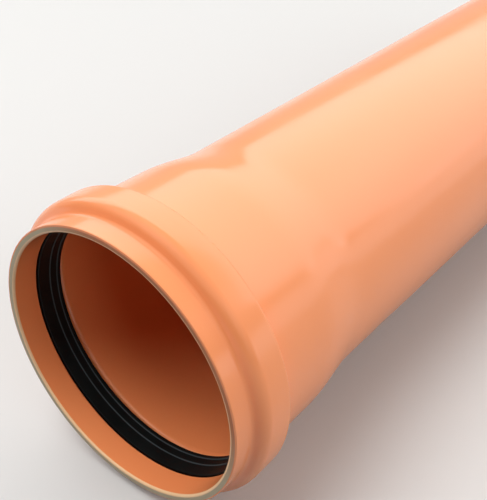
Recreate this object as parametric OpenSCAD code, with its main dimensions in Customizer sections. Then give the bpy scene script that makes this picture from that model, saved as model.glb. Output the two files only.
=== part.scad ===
// Socketed PVC-U drainage pipe, DN/OD 110, lying on its side on a level floor.
// Millimetres. The pipe's axis runs along +X from the socket's mouth to the plain end.
// The origin is on the floor, under the middle of the pipe's length.

/* [Pipe] */
// Outside diameter of the barrel
pipe_od = 110; // [100:1:125]
// Wall thickness of the barrel
pipe_wall = 3.2; // [3:0.1:4.2]
// Length sold, from the plain end to where a pipe pushed into the socket stops
laying_length = 500; // [300:50:1000]
// Length of the chamfer on the plain end
chamfer_length = 6; // [3:0.5:9]
// Angle of that chamfer to the axis, degrees
chamfer_angle = 15; // [10:1:30]

/* [Socket] */
// Depth from the mouth to the start of the barrel
socket_depth = 80.5; // [74:0.5:95]
// Radial room round a pipe of the same size, at the mouth
mouth_room = 0.95; // [0.6:0.05:1.5]
// Wall thickness of the socket and its rim
socket_wall = 3.25; // [2.9:0.05:4]
// How far the socket narrows on radius for each millimetre of depth
socket_draft = 0.02; // [0:0.005:0.03]
// Slope of the cone that joins the socket to the barrel, degrees
cone_angle = 9.2; // [8:0.2:16]
// Radius of the rounded shoulder before the cone
shoulder_radius = 80; // [30:5:120]
// Radius of the hollow where the cone meets the barrel
junction_radius = 80; // [20:5:100]
// Rounding of the inside of the rim
mouth_radius = 0.9; // [0.3:0.1:1.2]
// Rounding of the outside of the rim
rim_radius = 0.35; // [0.1:0.05:0.8]

/* [Seal groove] */
// How far the bead over the groove stands out from the rim
bead_rise = 4.8; // [4:0.1:6]
// Wall thickness over the groove
bead_wall = 2.9; // [2.4:0.1:3.4]
// Depth at the foot of the bead's front slope
bead_foot = 6.8; // [5:0.1:10]
// Depth at the top of the bead's front slope
bead_front = 12.5; // [11:0.1:16]
// Depth at the top of the bead's rear edge
bead_rear = 24.2; // [23:0.1:30]
// Length along the axis of the bead's rear edge
bead_rear_slope = 2; // [1:0.1:4]
// Hollow at the foot of the front slope
foot_radius = 5; // [2:0.5:8]
// Rounding at the top of the front slope
crest_radius = 8; // [3:0.5:9]
// Rounding at the top of the rear edge
rear_radius = 1.4; // [1:0.1:3]
// Depth of the groove's front corner, inside
groove_front = 11.3; // [10:0.1:13]
// Length along the axis of the groove's front face
groove_front_slope = 2.2; // [1:0.1:4]
// Depth of the groove's rear corner, inside
groove_rear = 24.4; // [23:0.1:28]
// Length along the axis of the groove's rear face
groove_rear_slope = 2.1; // [1:0.1:4]
// Rounding of the corners at the bottom of the groove
groove_radius = 1.6; // [0.8:0.1:2.2]
// Rounding of the groove's rear corner, which a pipe passes as it goes in
groove_edge_radius = 4; // [1:0.5:4.5]

/* [Seal ring] */
// Clearance between the ring and the groove
seal_room = 0.15; // [0.05:0.05:0.4]
// How far the lip's edge stands in from the barrel's outside radius
lip_bite = 1; // [0.8:0.1:2]
// Depth of the lip's edge from the mouth
lip_depth = 22.6; // [22:0.1:23.5]
// Depth of the step between the ring's front band and its lip
step_depth = 17.4; // [15:0.1:18]
// Depth of the step to the lip's edge
tip_depth = 20.6; // [19.5:0.1:21.5]
// Height of each step
step_height = 0.4; // [0.2:0.05:0.5]
// How far the front edge stands in from the mouth's bore
front_stand = 0.5; // [0.1:0.1:1]
// How far the front edge stands back from the groove's front corner
front_set = 0.7; // [0.4:0.1:1.2]
// Thickness of the lip at its edge
lip_edge = 1.1; // [0.8:0.1:1.6]
// Depth of the hollow between the lip and the heel
hollow_depth = 19.1; // [18.5:0.1:20]
// Height of that hollow over the mouth's bore
hollow_height = 1.1; // [0.8:0.1:1.4]
// Rounding of that hollow
hollow_radius = 0.8; // [0.3:0.1:1]
// Height of the heel, at the groove's rear face, over the mouth's bore
heel_height = 1.9; // [1.6:0.1:2.4]

/* [Hidden] */
$fn = 128;
barrel_r = pipe_od / 2;
bore_r = barrel_r - pipe_wall;
tip_r = barrel_r - chamfer_length * tan(chamfer_angle);
mouth_r = barrel_r + mouth_room;
rim_r = mouth_r + socket_wall;
crest_r = rim_r + bead_rise;
groove_r = crest_r - bead_wall;
cone_slope = tan(cone_angle);
cone_wall = socket_wall / cos(cone_angle);
edge_radius = 1.8;
lip_radius = 0.4;

// Bore of the socket behind the groove, at a depth
function socket_bore(depth) = mouth_r - socket_draft * (depth - groove_rear);

// Depth at which the narrowing socket, of this radius at the groove, meets the cone that ends at end_r
function shoulder_depth(start_r, end_r, end_depth) =
    (end_r + cone_slope * end_depth - start_r - socket_draft * groove_rear) / (cone_slope - socket_draft);

outer_shoulder = shoulder_depth(rim_r, barrel_r, socket_depth);
outer_shoulder_r = rim_r - socket_draft * (outer_shoulder - groove_rear);
inner_junction = socket_depth - (cone_wall - pipe_wall) / cone_slope;
inner_shoulder = shoulder_depth(mouth_r, bore_r, inner_junction);
// A pipe pushed in stops where its chamfered end meets the cone
stop_depth = inner_junction - (tip_r - bore_r) / cone_slope;
overall = laying_length + stop_depth;
bead_end = bead_rear + bead_rear_slope;
bead_end_r = rim_r - socket_draft * (bead_end - groove_rear);
lip_r = barrel_r - lip_bite;
front_r = mouth_r - front_stand;
seal_front = groove_front + front_set;

// Setback along the axis that keeps the clearance from a groove face of this slope
function face_room(slope) = seal_room * norm([slope, groove_r - mouth_r]) / (groove_r - mouth_r);

// Radius of the ring's inside at a depth, before its steps
function band_r(depth) =
    front_r - (front_r - lip_r - 2 * step_height) * (depth - seal_front) / (lip_depth - seal_front);

// A piece is one solid for each name here

function unit(v) = v / norm(v);

// Points of the arc that rounds corner p, between its neighbours a and b
function rounded(p, a, b, radius, steps) =
    let (
        to_a = unit(a - p),
        to_b = unit(b - p),
        half = acos(to_a * to_b) / 2,
        centre = p + unit(to_a + to_b) * radius / sin(half),
        first = p + to_a * radius / tan(half) - centre,
        last = p + to_b * radius / tan(half) - centre,
        turn = (180 - 2 * half) * sign(cross(first, last))
    )
    [for (i = [0 : steps])
        let (angle = turn * i / steps)
        centre + [
            first[0] * cos(angle) - first[1] * sin(angle),
            first[0] * sin(angle) + first[1] * cos(angle)
        ]];

// Outline from corners of [depth, radius, rounding, steps]; a rounding of 0 leaves the corner sharp
function outline(corners) =
    let (count = len(corners))
    [for (i = [0 : count - 1])
        let (
            corner = corners[i],
            here = [corner[1], corner[0]],
            before = corners[(i + count - 1) % count],
            after = corners[(i + 1) % count]
        )
        each corner[2] > 0
            ? rounded(here, [before[1], before[0]], [after[1], after[0]], corner[2], corner[3])
            : [here]];

// Turns an outline round the pipe's axis and lays it along +X
module turned(corners) {
    translate([-overall / 2, 0, crest_r])
        rotate([0, 90, 0])
            rotate_extrude()
                polygon(outline(corners));
}

module pipe() {
    color([0.80, 0.40, 0.19])
        turned([
            [0, mouth_r, mouth_radius, 5],
            [0, rim_r, rim_radius, 3],
            [bead_foot, rim_r, foot_radius, 6],
            [bead_front, crest_r, crest_radius, 8],
            [bead_rear, crest_r, rear_radius, 5],
            [bead_end, bead_end_r, edge_radius, 4],
            [outer_shoulder, outer_shoulder_r, shoulder_radius, 8],
            [socket_depth, barrel_r, junction_radius, 8],
            [overall - chamfer_length, barrel_r, 0, 0],
            [overall, tip_r, 0, 0],
            [overall, bore_r, 0, 0],
            [inner_junction, bore_r, junction_radius, 8],
            [inner_shoulder, socket_bore(inner_shoulder), shoulder_radius, 8],
            [groove_rear, mouth_r, groove_edge_radius, 6],
            [groove_rear - groove_rear_slope, groove_r, groove_radius, 4],
            [groove_front + groove_front_slope, groove_r, groove_radius, 4],
            [groove_front, mouth_r, lip_radius, 3]
        ]);
}

module seal_ring() {
    front_face = groove_front + face_room(groove_front_slope);
    rear_face = groove_rear - face_room(groove_rear_slope);
    heel_depth = rear_face - groove_rear_slope * heel_height / (groove_r - mouth_r);
    top_r = groove_r - seal_room;
    color([0.06, 0.06, 0.06])
        turned([
            [seal_front, front_r, lip_radius, 3],
            [front_face + groove_front_slope, top_r, groove_radius, 4],
            [rear_face - groove_rear_slope, top_r, groove_radius, 4],
            [heel_depth, mouth_r + heel_height, lip_radius, 3],
            [hollow_depth, mouth_r + hollow_height, hollow_radius, 4],
            [lip_depth, lip_r + lip_edge, lip_radius, 3],
            [lip_depth, lip_r, lip_radius, 3],
            [tip_depth + step_height, band_r(tip_depth) - 2 * step_height, 0, 0],
            [tip_depth, band_r(tip_depth) - step_height, 0, 0],
            [step_depth + step_height, band_r(step_depth) - step_height, 0, 0],
            [step_depth, band_r(step_depth), 0, 0]
        ]);
}

pipe();
seal_ring();
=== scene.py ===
"""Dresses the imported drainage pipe: smooth turned meshes, PVC-U and rubber finishes, studio and camera.

The part's sizes are in millimetres, as in its source, and turn to metres where Blender takes them.
Places are in the part's frame: +X runs along the pipe from the socket's mouth, +Z is up.
"""

from __future__ import annotations

import logging
import math
from dataclasses import dataclass, field
from enum import Enum

import bpy
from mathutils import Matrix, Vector

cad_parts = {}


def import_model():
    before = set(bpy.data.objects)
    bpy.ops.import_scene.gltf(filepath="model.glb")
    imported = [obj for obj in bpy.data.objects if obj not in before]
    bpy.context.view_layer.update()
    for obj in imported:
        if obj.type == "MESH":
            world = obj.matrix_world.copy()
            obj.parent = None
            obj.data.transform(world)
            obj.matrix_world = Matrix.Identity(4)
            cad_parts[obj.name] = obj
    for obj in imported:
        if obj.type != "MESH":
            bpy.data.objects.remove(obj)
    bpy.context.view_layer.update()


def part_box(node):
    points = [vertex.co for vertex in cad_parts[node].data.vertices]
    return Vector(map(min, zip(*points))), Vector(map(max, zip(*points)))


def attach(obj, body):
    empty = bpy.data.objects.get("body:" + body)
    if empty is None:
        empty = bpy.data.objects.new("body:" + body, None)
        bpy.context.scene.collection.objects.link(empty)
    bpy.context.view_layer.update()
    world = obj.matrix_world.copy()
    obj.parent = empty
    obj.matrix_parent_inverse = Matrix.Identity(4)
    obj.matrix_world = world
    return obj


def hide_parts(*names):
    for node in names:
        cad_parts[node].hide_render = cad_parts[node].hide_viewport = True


LOG = logging.getLogger("drainage_pipe")
MM = 0.001
BODY = "root"
ROUNDING = "rounding"

# A Mix node repeats its sockets' names for each kind of value, so they go by number.
COLOUR_A = 6
COLOUR_B = 7
COLOUR_OUT = 2
FLOAT_A = 2
FLOAT_B = 3
FLOAT_OUT = 0

# Most of a noise texture's values lie between these two.
NOISE_LOW = 0.3
NOISE_HIGH = 0.7

# A section's corner: depth from the mouth, radius and rounding, in millimetres.
Corner = tuple[float, float, float]
Tree = bpy.types.NodeTree
Socket = bpy.types.NodeSocket


def linear(hex_colour: str) -> tuple[float, float, float, float]:
    """Turns an sRGB hex colour into linear RGBA.

    Args:
        hex_colour: Six hex digits after a hash sign.

    Returns:
        Linear red, green and blue, with an alpha of 1.
    """
    parts = [int(hex_colour[i : i + 2], 16) / 255 for i in (1, 3, 5)]
    red, green, blue = (c / 12.92 if c <= 0.04045 else ((c + 0.055) / 1.055) ** 2.4 for c in parts)
    return red, green, blue, 1.0


def add_node(
    tree: Tree, kind: str, inputs: dict[str | int, object] | None = None, **settings: object
) -> bpy.types.Node:
    """Adds a node with its settings, values and links.

    Args:
        tree: Tree that takes the node.
        kind: Blender's name for the node's type.
        inputs: Input name or index to a value, or to the output socket that feeds it.
        **settings: Properties of the node itself.

    Returns:
        The new node.
    """
    node = tree.nodes.new(kind)
    for name, value in settings.items():
        setattr(node, name, value)
    for key, value in (inputs or {}).items():
        if isinstance(value, Socket):
            tree.links.new(value, node.inputs[key])
        else:
            node.inputs[key].default_value = value
    return node


def empty_material(name: str) -> bpy.types.Material:
    """Makes a material whose tree has no nodes yet.

    Args:
        name: The material's name.

    Returns:
        The material.
    """
    material = bpy.data.materials.new(name)
    material.use_nodes = True
    material.node_tree.nodes.clear()
    return material


def place_from_mouth(tree: Tree, mouth: Vector) -> Socket:
    """Centres a material's Object coordinates on the socket's mouth.

    Args:
        tree: The material's tree.
        mouth: Centre of the socket's mouth, in metres.

    Returns:
        The coordinates' socket, in metres.
    """
    place = add_node(tree, "ShaderNodeTexCoord").outputs["Object"]
    centred = add_node(tree, "ShaderNodeMapping", {"Vector": place, "Location": tuple(-mouth)})
    return centred.outputs["Vector"]


@dataclass(frozen=True)
class Pattern:
    """A noise pattern: the size of its features in millimetres, and how many finer layers it has."""

    size_mm: float
    detail: float

    def on(self, place: Socket) -> dict[str | int, object]:
        """Gives the inputs of a noise texture that has this pattern on coordinates in metres."""
        return {"Vector": place, "Scale": 1 / (self.size_mm * MM), "Detail": self.detail}


@dataclass(frozen=True)
class PipeSizes:
    """The pipe's and the ring's sizes in millimetres, depths from the mouth, angles in degrees."""

    # Barrel and plain end
    pipe_od: float = 110.0
    pipe_wall: float = 3.2
    laying_length: float = 500.0
    chamfer_length: float = 6.0
    chamfer_angle: float = 15.0
    # Socket and the cone behind it
    socket_depth: float = 80.5
    mouth_room: float = 0.95
    socket_wall: float = 3.25
    socket_draft: float = 0.02
    cone_angle: float = 9.2
    shoulder_radius: float = 80.0
    junction_radius: float = 80.0
    mouth_radius: float = 0.9
    rim_radius: float = 0.35
    # Bead, its front steeper than in the part's source, as the photograph's shading has it
    bead_rise: float = 4.8
    bead_wall: float = 2.9
    bead_foot: float = 8.6
    bead_front: float = 11.0
    bead_rear: float = 24.2
    bead_rear_slope: float = 2.0
    foot_radius: float = 2.0
    crest_radius: float = 5.0
    rear_radius: float = 1.4
    edge_radius: float = 1.8
    # Seal groove
    groove_front: float = 11.3
    groove_front_slope: float = 2.2
    groove_rear: float = 24.4
    groove_rear_slope: float = 2.1
    groove_radius: float = 1.6
    groove_edge_radius: float = 4.0
    # Ring
    lip_radius: float = 0.4
    seal_room: float = 0.15
    lip_bite: float = 1.0
    lip_depth: float = 22.6
    step_depth: float = 17.4
    tip_depth: float = 20.6
    step_height: float = 0.4
    front_stand: float = 0.5
    front_set: float = 0.7
    lip_edge: float = 1.1
    hollow_depth: float = 19.1
    hollow_height: float = 1.1
    hollow_radius: float = 0.8
    heel_height: float = 1.9

    @property
    def barrel_r(self) -> float:
        """Outside radius of the barrel."""
        return self.pipe_od / 2

    @property
    def bore_r(self) -> float:
        """Inside radius of the barrel."""
        return self.barrel_r - self.pipe_wall

    @property
    def mouth_r(self) -> float:
        """Inside radius of the socket's mouth."""
        return self.barrel_r + self.mouth_room

    @property
    def rim_r(self) -> float:
        """Outside radius of the socket's rim."""
        return self.mouth_r + self.socket_wall

    @property
    def crest_r(self) -> float:
        """Outside radius of the bead, which is also the axis's height over the floor."""
        return self.rim_r + self.bead_rise

    @property
    def groove_r(self) -> float:
        """Inside radius at the bottom of the seal groove."""
        return self.crest_r - self.bead_wall

    @property
    def groove_height(self) -> float:
        """Height of the seal groove's faces."""
        return self.groove_r - self.mouth_r

    @property
    def cone_slope(self) -> float:
        """Fall in radius for each millimetre of depth on the cone behind the socket."""
        return math.tan(math.radians(self.cone_angle))

    @property
    def tip_r(self) -> float:
        """Outside radius at the very end of the chamfer."""
        return self.barrel_r - self.chamfer_length * math.tan(math.radians(self.chamfer_angle))

    @property
    def inner_junction(self) -> float:
        """Depth at which the inside of the cone meets the barrel's bore."""
        cone_wall = self.socket_wall / math.cos(math.radians(self.cone_angle))
        return self.socket_depth - (cone_wall - self.pipe_wall) / self.cone_slope

    @property
    def overall(self) -> float:
        """Whole length, the laying length and the depth at which a pushed-in pipe stops."""
        return self.laying_length + self.inner_junction - (self.tip_r - self.bore_r) / self.cone_slope

    @property
    def lip_r(self) -> float:
        """Radius of the ring's lip at its edge."""
        return self.barrel_r - self.lip_bite

    @property
    def front_r(self) -> float:
        """Radius of the ring's front edge."""
        return self.mouth_r - self.front_stand

    @property
    def seal_front(self) -> float:
        """Depth of the ring's front edge."""
        return self.groove_front + self.front_set

    def face_room(self, slope: float) -> float:
        """Finds the setback along the axis that keeps the ring clear of a groove face.

        Args:
            slope: Length of the face along the axis.

        Returns:
            The setback.
        """
        return self.seal_room * math.hypot(slope, self.groove_height) / self.groove_height

    def band_r(self, depth: float) -> float:
        """Finds the radius of the ring's inside before its two steps.

        Args:
            depth: Depth from the mouth.

        Returns:
            The radius.
        """
        fall = self.front_r - self.lip_r - 2 * self.step_height
        return self.front_r - fall * (depth - self.seal_front) / (self.lip_depth - self.seal_front)

    def shoulder(self, start_r: float, end_r: float, end_depth: float) -> tuple[float, float]:
        """Finds where the narrowing socket meets the cone.

        Args:
            start_r: Radius of the socket's surface at the groove.
            end_r: Radius at the cone's narrow end.
            end_depth: Depth of the cone's narrow end.

        Returns:
            Depth and radius of the meeting point.
        """
        rise = end_r + self.cone_slope * end_depth - start_r - self.socket_draft * self.groove_rear
        depth = rise / (self.cone_slope - self.socket_draft)
        return depth, start_r - self.socket_draft * (depth - self.groove_rear)


@dataclass
class TurnedTree:
    """Geometry Nodes that round a section's corners and sweep it round the pipe's axis."""

    # Radius of the circle that carries the section round, and how near two points are joined
    hub_mm: float = 10.0
    weld_mm: float = 0.002
    tree: Tree = field(init=False)
    inputs: dict[str, str] = field(init=False, default_factory=dict)

    def __post_init__(self) -> None:
        """Builds the tree once."""
        self.tree = bpy.data.node_groups.new("Turned section", "GeometryNodeTree")
        self.tree.is_modifier = True
        self._sockets()
        self._nodes()

    def _sockets(self) -> None:
        kinds = {
            "Section": "NodeSocketGeometry",
            "Rounding Steps": "NodeSocketInt",
            "Facets": "NodeSocketInt",
            "Axis Place": "NodeSocketVector",
            "Crease Angle": "NodeSocketFloat",
            "Finish": "NodeSocketMaterial",
        }
        for name, kind in kinds.items():
            socket = self.tree.interface.new_socket(name, in_out="INPUT", socket_type=kind)
            self.inputs[name] = socket.identifier
        self.tree.interface.new_socket("Turned", in_out="OUTPUT", socket_type="NodeSocketGeometry")

    def _nodes(self) -> None:
        """Adds the nodes from the section to the finished surface."""
        tree = self.tree
        given = add_node(tree, "NodeGroupInput").outputs
        creased = self._shade(self._sweep(given), given["Crease Angle"])
        real = add_node(tree, "GeometryNodeRealizeInstances", {"Geometry": creased})
        finished = add_node(
            tree,
            "GeometryNodeSetMaterial",
            {"Geometry": real.outputs["Geometry"], "Material": given["Finish"]},
        )
        add_node(tree, "NodeGroupOutput", {"Turned": finished.outputs["Geometry"]})

    def _sweep(self, given: bpy.types.NodeOutputs) -> Socket:
        """Rounds the section, sweeps it round a small circle and lays the result along X.

        Args:
            given: The tree's own inputs.

        Returns:
            The turned mesh's socket.
        """
        tree = self.tree
        loop = add_node(tree, "GeometryNodeMeshToCurve", {"Mesh": given["Section"]})
        radius = add_node(
            tree, "GeometryNodeInputNamedAttribute", {"Name": ROUNDING}, data_type="FLOAT"
        )
        rounded = add_node(
            tree,
            "GeometryNodeFilletCurve",
            {
                "Curve": loop.outputs["Curve"],
                "Radius": radius.outputs["Attribute"],
                "Count": given["Rounding Steps"],
            },
            mode="POLY",
        )
        circle = add_node(
            tree,
            "GeometryNodeCurvePrimitiveCircle",
            {"Resolution": given["Facets"], "Radius": self.hub_mm * MM},
            mode="RADIUS",
        )
        swept = add_node(
            tree,
            "GeometryNodeCurveToMesh",
            {"Curve": circle.outputs["Curve"], "Profile Curve": rounded.outputs["Curve"]},
        )
        welded = add_node(
            tree,
            "GeometryNodeMergeByDistance",
            {"Geometry": swept.outputs["Mesh"], "Distance": self.weld_mm * MM},
        )
        # The circle's axis is Z, and the pipe's is X.
        laid = add_node(
            tree,
            "GeometryNodeTransform",
            {
                "Geometry": welded.outputs["Geometry"],
                "Rotation": (0.0, math.radians(-90), 0.0),
                "Translation": given["Axis Place"],
            },
        )
        return laid.outputs["Geometry"]

    def _shade(self, turned: Socket, crease_angle: Socket) -> Socket:
        """Shades the faces smooth and keeps the edges that bend more than an angle sharp.

        Args:
            turned: The mesh.
            crease_angle: The angle, in radians.

        Returns:
            The shaded mesh's socket.
        """
        tree = self.tree
        smooth = add_node(
            tree,
            "GeometryNodeSetShadeSmooth",
            {"Geometry": turned, "Shade Smooth": True},
            domain="FACE",
        )
        bend = add_node(tree, "GeometryNodeInputMeshEdgeAngle")
        sharp = add_node(
            tree,
            "FunctionNodeCompare",
            {0: bend.outputs["Unsigned Angle"], 1: crease_angle},
            data_type="FLOAT",
            operation="GREATER_THAN",
        )
        creased = add_node(
            tree,
            "GeometryNodeSetShadeSmooth",
            {
                "Geometry": smooth.outputs["Geometry"],
                "Selection": sharp.outputs["Result"],
                "Shade Smooth": False,
            },
            domain="EDGE",
        )
        return creased.outputs["Geometry"]


@dataclass
class Turning:
    """One closed section turned round the pipe's axis into a plain mesh."""

    name: str
    corners: list[Corner]
    facets: int
    rounding_steps: int
    longest_mm: float = 25.0
    crease_deg: float = 24.0

    def _spaced(self) -> list[Corner]:
        """Splits long straight stretches, so that no face is a long thin strip.

        Returns:
            The corners with plain points between those that stand far apart.
        """
        points: list[Corner] = []
        for here, after in zip(self.corners, self.corners[1:] + self.corners[:1]):
            points.append(here)
            run = after[0] - here[0]
            rise = after[1] - here[1]
            parts = int(math.hypot(run, rise) // self.longest_mm)
            for i in range(1, parts):
                share = i / parts
                points.append((here[0] + run * share, here[1] + rise * share, 0.0))
        return points

    def _section(self, hub_mm: float) -> bpy.types.Object:
        """Draws the section as a closed line that carries the rounding of each corner.

        Args:
            hub_mm: Radius of the circle that the line is swept round.

        Returns:
            The line's object, linked to the scene.
        """
        points = self._spaced()
        places = [((radius - hub_mm) * MM, depth * MM, 0.0) for depth, radius, _ in points]
        edges = [(i, (i + 1) % len(places)) for i in range(len(places))]
        mesh = bpy.data.meshes.new(self.name + "_section")
        mesh.from_pydata(places, edges, [])
        rounding = mesh.attributes.new(ROUNDING, "FLOAT", "POINT")
        rounding.data.foreach_set("value", [corner[2] * MM for corner in points])
        section = bpy.data.objects.new(self.name + "_section", mesh)
        bpy.context.scene.collection.objects.link(section)
        return section

    def build(self, tree: TurnedTree, place: Vector, finish: bpy.types.Material) -> bpy.types.Object:
        """Makes the mesh object.

        Args:
            tree: The shared sweep.
            place: Where the mouth's centre is, in metres.
            finish: Material of the whole piece.

        Returns:
            A plain mesh object at the origin, linked to the scene.
        """
        section = self._section(tree.hub_mm)
        sweep = section.modifiers.new("Sweep", "NODES")
        sweep.node_group = tree.tree
        values = {
            "Rounding Steps": self.rounding_steps,
            "Facets": self.facets,
            "Axis Place": place,
            "Crease Angle": math.radians(self.crease_deg),
            "Finish": finish,
        }
        for name, value in values.items():
            sweep[tree.inputs[name]] = value
        graph = bpy.context.evaluated_depsgraph_get()
        turned = bpy.data.meshes.new_from_object(section.evaluated_get(graph))
        turned.name = self.name
        line = section.data
        section.modifiers.remove(sweep)
        bpy.data.objects.remove(section)
        bpy.data.meshes.remove(line)
        piece = bpy.data.objects.new(self.name, turned)
        bpy.context.scene.collection.objects.link(piece)
        return piece


@dataclass(frozen=True)
class PvcFinish:
    """PVC-U, co-extruded in three layers: glossy orange-brown skins over a grey core."""

    skin: str = "#fb955b"
    skin_pale: str = "#fd9c63"
    mottle: Pattern = Pattern(size_mm=70.0, detail=4.0)
    ior: float = 1.55
    # Gloss: handling polishes the skin here and scuffs it there
    roughness: float = 0.17
    polish: float = 0.03
    scuff: float = 0.05
    handling: Pattern = Pattern(size_mm=35.0, detail=6.0)
    # Relief: the die's lines along the pipe, drawn coarser than real so that they show, and slow waves
    die_lines: Pattern = Pattern(size_mm=2.5, detail=2.0)
    die_line_stretch: float = 60.0
    die_line_depth_mm: float = 0.004
    waves: Pattern = Pattern(size_mm=45.0, detail=1.0)
    wave_depth_mm: float = 0.05
    # Cut ends: skins of an uneven thickness beside the core
    skin_mm: float = 0.7
    rim_inner_skin_mm: float = 1.0
    rim_outer_skin_mm: float = 0.6
    rim_uneven_mm: float = 0.35
    thin_side_deg: float = 20.0
    blur_mm: float = 0.06
    wander: Pattern = Pattern(size_mm=6.0, detail=2.0)
    wander_mm: float = 0.12
    # Inside of the rim: pale from scraping, and paler still as a painted highlight of the front light on
    # its edge
    scraped_and_highlit: str = "#ffd2a0"
    # Core: stained, sawn dull, and smeared brown over a share of the radius towards one side
    core: str = "#bdab8e"
    core_pale: str = "#c9b99d"
    core_smeared: str = "#bb7047"
    core_roughness: float = 0.6
    stain: Pattern = Pattern(size_mm=30.0, detail=3.0)
    smeared_side_deg: float = 40.0
    smear_shares: tuple[float, float] = (0.3, 0.75)

    def build(self, sizes: PipeSizes, mouth: Vector) -> bpy.types.Material:
        """Makes the pipe's material.

        Args:
            sizes: The pipe's sizes, for the radii of the core on the cut ends.
            mouth: Centre of the socket's mouth, in metres.

        Returns:
            The material, patterned on Object coordinates.
        """
        # Drawn through a polished die, so it is glossy: a lamp's edge shows in it, a little soft.
        # The sawn ends are dull, and there the core shows as a grey band between the skins.
        material = empty_material("PVC-U co-extruded, orange-brown gloss")
        tree = material.node_tree
        place = place_from_mouth(tree, mouth)
        depth = add_node(tree, "ShaderNodeSeparateXYZ", {"Vector": place}).outputs["X"]
        radius = self._radius(tree, place, Vector())
        core = self._core_mask(tree, sizes, place, depth, radius)
        lip = self._lip_highlight_mask(tree, sizes, depth, radius)
        surface = add_node(
            tree,
            "ShaderNodeBsdfPrincipled",
            {
                "Base Color": self._colour(tree, sizes, place, core, lip),
                "Roughness": self._roughness(tree, place, core),
                "IOR": self.ior,
                "Normal": self._relief(tree, place),
            },
        )
        add_node(tree, "ShaderNodeOutputMaterial", {"Surface": surface.outputs["BSDF"]})
        return material

    @staticmethod
    def _side(angle_deg: float) -> Vector:
        """Points across the pipe, at an angle from straight up towards -Y."""
        angle = math.radians(angle_deg)
        return Vector((0.0, -math.sin(angle), math.cos(angle)))

    def _radius(self, tree: Tree, place: Socket, centre: Vector) -> Socket:
        """Measures the distance from a line along the pipe, with a small wander.

        Args:
            tree: The material's tree.
            place: Object coordinates from the mouth's centre.
            centre: How far the line stands off the pipe's axis, in millimetres.

        Returns:
            The distance's socket, in metres.
        """
        offset = add_node(
            tree, "ShaderNodeVectorMath", {0: place, 1: centre * MM}, operation="SUBTRACT"
        )
        across = add_node(
            tree,
            "ShaderNodeVectorMath",
            {0: offset.outputs["Vector"], 1: (0.0, 1.0, 1.0)},
            operation="MULTIPLY",
        )
        radius = add_node(
            tree, "ShaderNodeVectorMath", {0: across.outputs["Vector"]}, operation="LENGTH"
        )
        wander = add_node(tree, "ShaderNodeTexNoise", self.wander.on(place))
        return add_node(
            tree,
            "ShaderNodeMath",
            {0: wander.outputs["Fac"], 1: self.wander_mm * MM, 2: radius.outputs["Value"]},
            operation="MULTIPLY_ADD",
        ).outputs["Value"]

    def _past(self, tree: Tree, radius: Socket, edge_mm: float) -> Socket:
        """Turns a distance into 0 inside an edge and 1 outside it.

        Args:
            tree: The material's tree.
            radius: The distance, in metres.
            edge_mm: Where the edge is, in millimetres.

        Returns:
            The step's socket.
        """
        return add_node(
            tree,
            "ShaderNodeMapRange",
            {
                "Value": radius,
                "From Min": (edge_mm - self.blur_mm) * MM,
                "From Max": (edge_mm + self.blur_mm) * MM,
            },
            interpolation_type="SMOOTHSTEP",
        ).outputs["Result"]

    def _core_mask(
        self, tree: Tree, sizes: PipeSizes, place: Socket, depth: Socket, radius: Socket
    ) -> Socket:
        """Marks the grey core on the rim and on the plain end's cut faces.

        Args:
            tree: The material's tree.
            sizes: The pipe's sizes.
            place: Object coordinates from the mouth's centre.
            depth: Depth from the mouth, in metres.
            radius: Distance from the pipe's axis, in metres.

        Returns:
            A socket that is 1 on the core and 0 on the skins.
        """
        thinned = self._radius(tree, place, self._side(self.thin_side_deg) * -self.rim_uneven_mm)
        rim_skin = self._past(tree, radius, sizes.mouth_r + self.rim_inner_skin_mm)
        rim_edge = self._past(tree, thinned, sizes.rim_r - self.rim_outer_skin_mm)
        end_skin = self._past(tree, radius, sizes.bore_r + self.skin_mm)
        end_edge = self._past(tree, radius, sizes.barrel_r - self.skin_mm)
        rim = add_node(tree, "ShaderNodeMath", {0: rim_skin, 1: rim_edge}, operation="SUBTRACT")
        end = add_node(tree, "ShaderNodeMath", {0: end_skin, 1: end_edge}, operation="SUBTRACT")
        rim_to = sizes.rim_radius * MM
        at_rim = add_node(tree, "ShaderNodeMath", {0: depth, 1: rim_to}, operation="LESS_THAN")
        end_from = (sizes.overall - sizes.chamfer_length) * MM
        at_end = add_node(tree, "ShaderNodeMath", {0: depth, 1: end_from}, operation="GREATER_THAN")
        on_rim = add_node(
            tree,
            "ShaderNodeMath",
            {0: rim.outputs["Value"], 1: at_rim.outputs["Value"]},
            operation="MULTIPLY",
        )
        return add_node(
            tree,
            "ShaderNodeMath",
            {0: end.outputs["Value"], 1: at_end.outputs["Value"], 2: on_rim.outputs["Value"]},
            operation="MULTIPLY_ADD",
        ).outputs["Value"]

    def _lip_highlight_mask(self, tree: Tree, sizes: PipeSizes, depth: Socket, radius: Socket) -> Socket:
        """Marks the rounded inside of the rim, pale from scraping where the edge was broken, and painted
        paler still as a highlight of the front light it catches.

        Args:
            tree: The material's tree.
            sizes: The pipe's sizes.
            depth: Depth from the mouth, in metres.
            radius: Distance from the pipe's axis, in metres.

        Returns:
            A socket that is 1 on the lip's painted highlight.
        """
        outside = self._past(tree, radius, sizes.mouth_r + self.rim_inner_skin_mm)
        lip_to = sizes.mouth_radius * MM
        near = add_node(tree, "ShaderNodeMath", {0: depth, 1: lip_to}, operation="LESS_THAN")
        return add_node(
            tree,
            "ShaderNodeMath",
            {0: near.outputs["Value"], 1: outside},
            operation="SUBTRACT",
            use_clamp=True,
        ).outputs["Value"]

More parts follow.
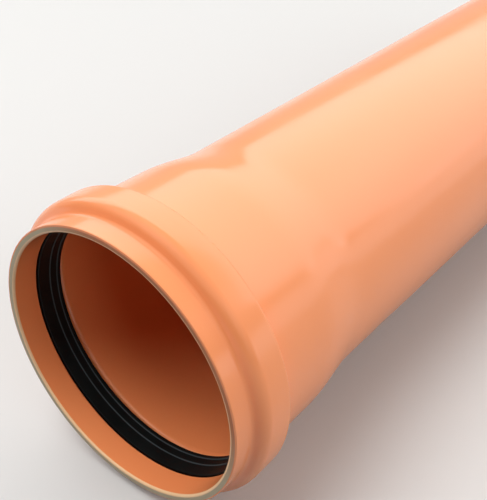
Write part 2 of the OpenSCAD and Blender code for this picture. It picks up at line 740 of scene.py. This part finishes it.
    def _colour(self, tree: Tree, sizes: PipeSizes, place: Socket, core: Socket, lip: Socket) -> Socket:
        """Mixes the skins' faint mottle, the lip's painted highlight and the core, which the saw smears
        brown on one side.

        Args:
            tree: The material's tree.
            sizes: The pipe's sizes.
            place: Object coordinates from the mouth's centre.
            core: The core's mask.
            lip: The mask of the lip's painted highlight.

        Returns:
            The colour's socket.
        """
        mottle = add_node(tree, "ShaderNodeTexNoise", self.mottle.on(place)).outputs["Fac"]
        stain = add_node(tree, "ShaderNodeTexNoise", self.stain.on(place)).outputs["Fac"]
        side = add_node(
            tree,
            "ShaderNodeVectorMath",
            {0: place, 1: self._side(self.smeared_side_deg)},
            operation="DOT_PRODUCT",
        ).outputs["Value"]
        first, last = (share * sizes.mouth_r * MM for share in self.smear_shares)
        smear = add_node(
            tree, "ShaderNodeMapRange", {"Value": side, "From Min": first, "From Max": last}
        ).outputs["Result"]
        skin = add_node(
            tree,
            "ShaderNodeMix",
            {"Factor": mottle, COLOUR_A: linear(self.skin), COLOUR_B: linear(self.skin_pale)},
            data_type="RGBA",
        ).outputs[COLOUR_OUT]
        # The lip gets a painted highlight: a pale colour in place of the light its edge catches.
        skin_with_lip_highlight = add_node(
            tree,
            "ShaderNodeMix",
            {"Factor": lip, COLOUR_A: skin, COLOUR_B: linear(self.scraped_and_highlit)},
            data_type="RGBA",
        ).outputs[COLOUR_OUT]
        grey = add_node(
            tree,
            "ShaderNodeMix",
            {"Factor": stain, COLOUR_A: linear(self.core), COLOUR_B: linear(self.core_pale)},
            data_type="RGBA",
        ).outputs[COLOUR_OUT]
        cut = add_node(
            tree,
            "ShaderNodeMix",
            {"Factor": smear, COLOUR_A: grey, COLOUR_B: linear(self.core_smeared)},
            data_type="RGBA",
        ).outputs[COLOUR_OUT]
        return add_node(
            tree, "ShaderNodeMix", {"Factor": core, COLOUR_A: skin_with_lip_highlight, COLOUR_B: cut}, data_type="RGBA"
        ).outputs[COLOUR_OUT]

    def _roughness(self, tree: Tree, place: Socket, core: Socket) -> Socket:
        """Varies the gloss of the skins and dulls the sawn core.

        Args:
            tree: The material's tree.
            place: Object coordinates from the mouth's centre.
            core: The core's mask.

        Returns:
            The roughness's socket.
        """
        handling = add_node(tree, "ShaderNodeTexNoise", self.handling.on(place))
        skin = add_node(
            tree,
            "ShaderNodeMapRange",
            {
                "Value": handling.outputs["Fac"],
                "From Min": NOISE_LOW,
                "From Max": NOISE_HIGH,
                "To Min": self.roughness - self.polish,
                "To Max": self.roughness + self.scuff,
            },
        ).outputs["Result"]
        return add_node(
            tree,
            "ShaderNodeMix",
            {"Factor": core, FLOAT_A: skin, FLOAT_B: self.core_roughness},
            data_type="FLOAT",
        ).outputs[FLOAT_OUT]

    def _relief(self, tree: Tree, place: Socket) -> Socket:
        """Adds the die's faint lines along the pipe and a slow waviness.

        Args:
            tree: The material's tree.
            place: Object coordinates from the mouth's centre.

        Returns:
            The normal's socket.
        """
        drawn = add_node(
            tree,
            "ShaderNodeVectorMath",
            {0: place, 1: (1 / self.die_line_stretch, 1.0, 1.0)},
            operation="MULTIPLY",
        ).outputs["Vector"]
        lines = add_node(tree, "ShaderNodeTexNoise", self.die_lines.on(drawn))
        waves = add_node(tree, "ShaderNodeTexNoise", self.waves.on(place))
        wavy = add_node(
            tree,
            "ShaderNodeBump",
            {"Height": waves.outputs["Fac"], "Distance": self.wave_depth_mm * MM},
        )
        lined = add_node(
            tree,
            "ShaderNodeBump",
            {
                "Height": lines.outputs["Fac"],
                "Distance": self.die_line_depth_mm * MM,
                "Normal": wavy.outputs["Normal"],
            },
        )
        return lined.outputs["Normal"]


@dataclass(frozen=True)
class RubberFinish:
    """EPDM rubber, moulded: near black, satin, with a fine grain and a trace of talc."""

    dark: str = "#090b0c"
    dusty: str = "#161a1a"
    dust: Pattern = Pattern(size_mm=9.0, detail=5.0)
    # Painted highlight along the edges of the ring's two steps
    step_highlight: str = "#394043"
    ior: float = 1.42
    specular: float = 0.13
    # Gloss: talc dulls the rubber here, and it is bare there
    roughness: float = 0.38
    bare: float = 0.06
    dulled: float = 0.1
    # Grain of the mould, drawn coarser than the real one so that it shows
    grain: Pattern = Pattern(size_mm=0.6, detail=2.0)
    grain_depth_mm: float = 0.02
    grain_strength: float = 0.5

    def build(self, sizes: PipeSizes, mouth: Vector) -> bpy.types.Material:
        """Makes the ring's material.

        Args:
            sizes: The ring's sizes, for the depths of its two steps.
            mouth: Centre of the socket's mouth, in metres.

        Returns:
            The material, patterned on Object coordinates.
        """
        # Moulded in a satin tool: near black, with weak broad highlights, and a painted highlight line at
        # each step.
        material = empty_material("EPDM rubber, moulded black")
        tree = material.node_tree
        place = place_from_mouth(tree, mouth)
        dust = add_node(tree, "ShaderNodeTexNoise", self.dust.on(place)).outputs["Fac"]
        gloss = add_node(
            tree,
            "ShaderNodeMapRange",
            {
                "Value": dust,
                "From Min": NOISE_LOW,
                "From Max": NOISE_HIGH,
                "To Min": self.roughness - self.bare,
                "To Max": self.roughness + self.dulled,
            },
        ).outputs["Result"]
        grain = add_node(tree, "ShaderNodeTexNoise", self.grain.on(place))
        relief = add_node(
            tree,
            "ShaderNodeBump",
            {
                "Height": grain.outputs["Fac"],
                "Distance": self.grain_depth_mm * MM,
                "Strength": self.grain_strength,
            },
        ).outputs["Normal"]
        surface = add_node(
            tree,
            "ShaderNodeBsdfPrincipled",
            {
                "Base Color": self._colour(tree, sizes, place, dust),
                "Roughness": gloss,
                "IOR": self.ior,
                "Specular IOR Level": self.specular,
                "Normal": relief,
            },
        )
        add_node(tree, "ShaderNodeOutputMaterial", {"Surface": surface.outputs["BSDF"]})
        return material

    def _colour(self, tree: Tree, sizes: PipeSizes, place: Socket, dust: Socket) -> Socket:
        """Dusts the black a little and paints a highlight line along the edges of the two steps.

        Args:
            tree: The material's tree.
            sizes: The ring's sizes.
            place: Object coordinates from the mouth's centre.
            dust: The dust's noise.

        Returns:
            The colour's socket.
        """
        colour = add_node(
            tree,
            "ShaderNodeMix",
            {"Factor": dust, COLOUR_A: linear(self.dark), COLOUR_B: linear(self.dusty)},
            data_type="RGBA",
        ).outputs[COLOUR_OUT]
        depth = add_node(tree, "ShaderNodeSeparateXYZ", {"Vector": place}).outputs["X"]
        half_mm = sizes.step_height / 2
        # Each step's edge gets a painted highlight line.
        for step in (sizes.step_depth, sizes.tip_depth):
            edge = add_node(
                tree,
                "ShaderNodeMath",
                {0: depth, 1: (step + half_mm) * MM, 2: half_mm * MM},
                operation="COMPARE",
            ).outputs["Value"]
            colour = add_node(
                tree,
                "ShaderNodeMix",
                {"Factor": edge, COLOUR_A: colour, COLOUR_B: linear(self.step_highlight)},
                data_type="RGBA",
            ).outputs[COLOUR_OUT]
        return colour


@dataclass
class SewerPipe:
    """The one-piece socketed pipe."""

    sizes: PipeSizes
    finish: PvcFinish = PvcFinish()
    facets: int = 256
    rounding_steps: int = 10

    def corners(self) -> list[Corner]:
        """Lists the section's corners as depth, radius and rounding."""
        sizes = self.sizes
        outer_shoulder = sizes.shoulder(sizes.rim_r, sizes.barrel_r, sizes.socket_depth)
        inner_shoulder = sizes.shoulder(sizes.mouth_r, sizes.bore_r, sizes.inner_junction)
        bead_end = sizes.bead_rear + sizes.bead_rear_slope
        bead_end_r = sizes.rim_r - sizes.socket_draft * (bead_end - sizes.groove_rear)
        return [
            (0.0, sizes.mouth_r, sizes.mouth_radius),
            (0.0, sizes.rim_r, sizes.rim_radius),
            (sizes.bead_foot, sizes.rim_r, sizes.foot_radius),
            (sizes.bead_front, sizes.crest_r, sizes.crest_radius),
            (sizes.bead_rear, sizes.crest_r, sizes.rear_radius),
            (bead_end, bead_end_r, sizes.edge_radius),
            (*outer_shoulder, sizes.shoulder_radius),
            (sizes.socket_depth, sizes.barrel_r, sizes.junction_radius),
            (sizes.overall - sizes.chamfer_length, sizes.barrel_r, 0.0),
            (sizes.overall, sizes.tip_r, 0.0),
            (sizes.overall, sizes.bore_r, 0.0),
            (sizes.inner_junction, sizes.bore_r, sizes.junction_radius),
            (*inner_shoulder, sizes.shoulder_radius),
            (sizes.groove_rear, sizes.mouth_r, sizes.groove_edge_radius),
            (sizes.groove_rear - sizes.groove_rear_slope, sizes.groove_r, sizes.groove_radius),
            (sizes.groove_front + sizes.groove_front_slope, sizes.groove_r, sizes.groove_radius),
            (sizes.groove_front, sizes.mouth_r, sizes.lip_radius),
        ]

    def build(self, tree: TurnedTree, mouth: Vector) -> bpy.types.Object:
        """Makes and dresses the pipe in place of its CAD node.

        Args:
            tree: The shared sweep.
            mouth: Centre of the socket's mouth, in metres.

        Returns:
            The pipe's object.
        """
        finish = self.finish.build(self.sizes, mouth)
        turning = Turning("pipe_turned", self.corners(), self.facets, self.rounding_steps)
        piece = turning.build(tree, mouth, finish)
        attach(piece, BODY)
        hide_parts("pipe")
        return piece


@dataclass
class SealRing:
    """The rubber lip ring in the socket's groove."""

    sizes: PipeSizes
    finish: RubberFinish = RubberFinish()
    facets: int = 224
    rounding_steps: int = 6
    step_round: float = 0.14

    def corners(self) -> list[Corner]:
        """Lists the section's corners as depth, radius and rounding."""
        sizes = self.sizes
        front_face = sizes.groove_front + sizes.face_room(sizes.groove_front_slope)
        rear_face = sizes.groove_rear - sizes.face_room(sizes.groove_rear_slope)
        heel_depth = rear_face - sizes.groove_rear_slope * sizes.heel_height / sizes.groove_height
        top_r = sizes.groove_r - sizes.seal_room
        tip_r = sizes.band_r(sizes.tip_depth) - sizes.step_height
        step_r = sizes.band_r(sizes.step_depth)
        return [
            (sizes.seal_front, sizes.front_r, sizes.lip_radius),
            (front_face + sizes.groove_front_slope, top_r, sizes.groove_radius),
            (rear_face - sizes.groove_rear_slope, top_r, sizes.groove_radius),
            (heel_depth, sizes.mouth_r + sizes.heel_height, sizes.lip_radius),
            (sizes.hollow_depth, sizes.mouth_r + sizes.hollow_height, sizes.hollow_radius),
            (sizes.lip_depth, sizes.lip_r + sizes.lip_edge, sizes.lip_radius),
            (sizes.lip_depth, sizes.lip_r, sizes.lip_radius),
            (sizes.tip_depth + sizes.step_height, tip_r - sizes.step_height, self.step_round),
            (sizes.tip_depth, tip_r, self.step_round),
            (sizes.step_depth + sizes.step_height, step_r - sizes.step_height, self.step_round),
            (sizes.step_depth, step_r, self.step_round),
        ]

    def build(self, tree: TurnedTree, mouth: Vector) -> bpy.types.Object:
        """Makes and dresses the ring in place of its CAD node.

        Args:
            tree: The shared sweep.
            mouth: Centre of the socket's mouth, in metres.

        Returns:
            The ring's object.
        """
        finish = self.finish.build(self.sizes, mouth)
        turning = Turning("seal_ring_turned", self.corners(), self.facets, self.rounding_steps)
        piece = turning.build(tree, mouth, finish)
        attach(piece, BODY)
        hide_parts("seal_ring")
        return piece


@dataclass(frozen=True)
class Softbox:
    """A soft lamp: its place, the point it faces, its width and height in metres, and its watts.

    One that isn't mirrored lights the pipe without showing as a patch in its gloss.
    """

    place: tuple[float, float, float]
    aim: tuple[float, float, float]
    width: float
    height: float
    watts: float
    mirrored: bool = True


class Lamp(Enum):
    """The studio's soft lamps."""

    BACK_PANEL = Softbox((1.62, 0.826, 1.796), (-0.13, 0.01, 0.54), 10.0, 2.0, 112.0)
    BACK_LOW = Softbox((1.45, 1.75, 0.4), (0.0, 0.0, 0.1), 7.0, 0.68, 4.2)
    SIDE_PANEL = Softbox((1.30, -1.30, 0.25), (0.05, 0.0, 0.1), 2.2, 0.46, 3.8)
    OVER_MOUTH = Softbox((-0.95, 0.7, 2.05), (-0.28, 0.0, 0.06), 1.9, 1.9, 48.0, mirrored=False)
    RIGHT_FILL = Softbox((0.2, -2.2, 1.0), (0.0, 0.0, 0.06), 3.4, 2.0, 38.0, mirrored=False)


@dataclass(frozen=True)
class Studio:
    """Pale floor, soft lamps and a world that pales upwards."""

    # Floor, which sends on less light than it shows, so that the pipe's underside stays in shade
    floor_colour: str = "#d9d8d6"
    floor_bounce: str = "#6a6967"
    floor_roughness: float = 0.9
    floor_half_m: float = 6.0
    # Distances between which the floor runs into the sweep, and how bright the sweep starts
    fade_from_m: float = 1.1
    fade_to_m: float = 1.7
    sweep_strength: float = 0.97
    # World as a light, at the horizon and overhead
    world_colour: str = "#f6f4f1"
    horizon_strength: float = 0.04
    ceiling_strength: float = 0.1
    # World as it is seen, at the backdrop and overhead, and the heights between which it pales
    backdrop_strength: float = 0.32
    overhead_strength: float = 1.0
    wall_top_deg: float = 16.0
    ceiling_deg: float = 40.0

    def build(self) -> None:
        """Makes the floor, the world and the lamps."""
        self._floor()
        self._world()
        for lamp in Lamp:
            self._lamp(lamp)
        bpy.context.scene.view_settings.view_transform = "Standard"

    @staticmethod
    def _seen(tree: Tree) -> Socket:
        """Tells rays that show the backdrop from those that only carry its light.

        Args:
            tree: Tree of the floor's material or the world.

        Returns:
            A socket that is 1 for camera, glossy and transmission rays and 0 for diffuse ones.
        """
        rays = add_node(tree, "ShaderNodeLightPath").outputs
        total = rays["Is Camera Ray"]
        for kind in ("Is Glossy Ray", "Is Transmission Ray"):
            total = add_node(
                tree, "ShaderNodeMath", {0: total, 1: rays[kind]}, operation="ADD", use_clamp=True
            ).outputs["Value"]
        return total

    def _floor(self) -> None:
        """Lays the floor at the pipe's lowest line."""
        half = self.floor_half_m
        corners = [(-half, -half, 0), (half, -half, 0), (half, half, 0), (-half, half, 0)]
        mesh = bpy.data.meshes.new("floor")
        mesh.from_pydata(corners, [], [(0, 1, 2, 3)])
        mesh.materials.append(self._paper())
        floor = bpy.data.objects.new("floor", mesh)
        bpy.context.scene.collection.objects.link(floor)

    def _paper(self) -> bpy.types.Material:
        """Makes the floor's paper, which far from the pipe runs into a sweep of the backdrop's tone.

        Returns:
            The material.
        """
        # Uncoated paper has no gloss, so it shows nothing but the pipe's soft shadow.
        paper = empty_material("Studio paper, matt")
        tree = paper.node_tree
        seen = self._seen(tree)
        tint = add_node(
            tree,
            "ShaderNodeMix",
            {"Factor": seen, COLOUR_A: linear(self.floor_bounce), COLOUR_B: linear(self.floor_colour)},
            data_type="RGBA",
        ).outputs[COLOUR_OUT]
        matt = add_node(
            tree,
            "ShaderNodeBsdfPrincipled",
            {"Base Color": tint, "Roughness": self.floor_roughness, "Specular IOR Level": 0.0},
        )
        place = add_node(tree, "ShaderNodeTexCoord").outputs["Object"]
        reach = add_node(
            tree, "ShaderNodeVectorMath", {0: place}, operation="LENGTH"
        ).outputs["Value"]
        share = add_node(
            tree,
            "ShaderNodeMapRange",
            {
                "Value": reach,
                "From Min": self.fade_from_m,
                "From Max": self.fade_to_m,
                "To Max": seen,
            },
            interpolation_type="SMOOTHSTEP",
        ).outputs["Result"]
        level = add_node(
            tree,
            "ShaderNodeMapRange",
            {
                "Value": reach,
                "From Min": self.fade_to_m,
                "From Max": self.floor_half_m,
                "To Min": self.sweep_strength,
                "To Max": self.backdrop_strength,
            },
            interpolation_type="SMOOTHSTEP",
        ).outputs["Result"]
        sweep = add_node(
            tree, "ShaderNodeEmission", {"Color": linear(self.world_colour), "Strength": level}
        )
        both = add_node(
            tree,
            "ShaderNodeMixShader",
            {0: share, 1: matt.outputs["BSDF"], 2: sweep.outputs["Emission"]},
        )
        add_node(tree, "ShaderNodeOutputMaterial", {"Surface": both.outputs["Shader"]})
        # The sweep is only seen and lights nothing, so it isn't sampled as a lamp.
        paper.cycles.emission_sampling = "NONE"
        return paper

    def _world(self) -> None:
        """Sets a neutral surround that brightens from the horizon up to the ceiling."""
        world = bpy.data.worlds.new("Studio")
        world.use_nodes = True
        tree = world.node_tree
        tree.nodes.clear()
        way = add_node(tree, "ShaderNodeTexCoord").outputs["Generated"]
        height = add_node(tree, "ShaderNodeSeparateXYZ", {"Vector": way}).outputs["Z"]
        given = add_node(
            tree,
            "ShaderNodeMapRange",
            {"Value": height, "To Min": self.horizon_strength, "To Max": self.ceiling_strength},
        ).outputs["Result"]
        shown = add_node(
            tree,
            "ShaderNodeMapRange",
            {
                "Value": height,
                "From Min": math.sin(math.radians(self.wall_top_deg)),
                "From Max": math.sin(math.radians(self.ceiling_deg)),
                "To Min": self.backdrop_strength,
                "To Max": self.overhead_strength,
            },
            interpolation_type="SMOOTHSTEP",
        ).outputs["Result"]
        strength = add_node(
            tree, "ShaderNodeMix", {"Factor": self._seen(tree), FLOAT_A: given, FLOAT_B: shown}
        ).outputs[FLOAT_OUT]
        background = add_node(
            tree, "ShaderNodeBackground", {"Color": linear(self.world_colour), "Strength": strength}
        )
        add_node(tree, "ShaderNodeOutputWorld", {"Surface": background.outputs["Background"]})
        bpy.context.scene.world = world

    @staticmethod
    def _lamp(lamp: Lamp) -> None:
        """Hangs one soft lamp.

        Args:
            lamp: Which lamp.
        """
        box = lamp.value
        data = bpy.data.lights.new(lamp.name.lower(), "AREA")
        data.shape = "RECTANGLE"
        data.size = box.width
        data.size_y = box.height
        data.energy = box.watts
        light = bpy.data.objects.new(lamp.name.lower(), data)
        light.location = box.place
        light.visible_glossy = box.mirrored
        light.rotation_mode = "QUATERNION"
        light.rotation_quaternion = (Vector(box.aim) - Vector(box.place)).to_track_quat("-Z", "Y")
        bpy.context.scene.collection.objects.link(light)


@dataclass(frozen=True)
class Viewpoint:
    """The photograph's camera, placed by where it sees the socket's mouth."""

    azimuth_deg: float = -51.02
    elevation_deg: float = 34.63
    lens_mm: float = 61.4
    sensor_mm: float = 36.0
    clip_start_mm: float = 10.0
    mouth_ahead_mm: float = 315.3
    mouth_left_mm: float = 48.3
    mouth_below_mm: float = 44.3

    def build(self, mouth: Vector) -> None:
        """Makes the scene's camera.

        Args:
            mouth: Centre of the socket's mouth, in metres.
        """
        turn = math.radians(self.azimuth_deg)
        lift = math.radians(self.elevation_deg)
        level = math.cos(lift)
        back = Vector((math.sin(turn) * level, -math.cos(turn) * level, math.sin(lift)))
        right = Vector((math.cos(turn), math.sin(turn), 0.0))
        above = back.cross(right)
        offset = back * self.mouth_ahead_mm + right * self.mouth_left_mm + above * self.mouth_below_mm
        data = bpy.data.cameras.new("camera")
        data.lens = self.lens_mm
        data.sensor_width = self.sensor_mm
        data.clip_start = self.clip_start_mm * MM
        camera = bpy.data.objects.new("camera", data)
        camera.location = mouth + offset * MM
        camera.rotation_mode = "QUATERNION"
        camera.rotation_quaternion = (-back).to_track_quat("-Z", "Y")
        bpy.context.scene.collection.objects.link(camera)
        bpy.context.scene.camera = camera


def main() -> None:
    """Loads the frame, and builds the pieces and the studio."""
    logging.basicConfig(level=logging.INFO, format="%(name)s: %(message)s")
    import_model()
    sizes = PipeSizes()
    mouth = Vector((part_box("pipe")[0][0], 0.0, sizes.crest_r * MM))
    tree = TurnedTree()
    Viewpoint().build(mouth)
    for assembly in (SewerPipe(sizes), SealRing(sizes)):
        piece = assembly.build(tree, mouth)
        LOG.info("%s: %d faces", piece.name, len(piece.data.polygons))
    Studio().build()


if __name__ == "__main__":
    main()
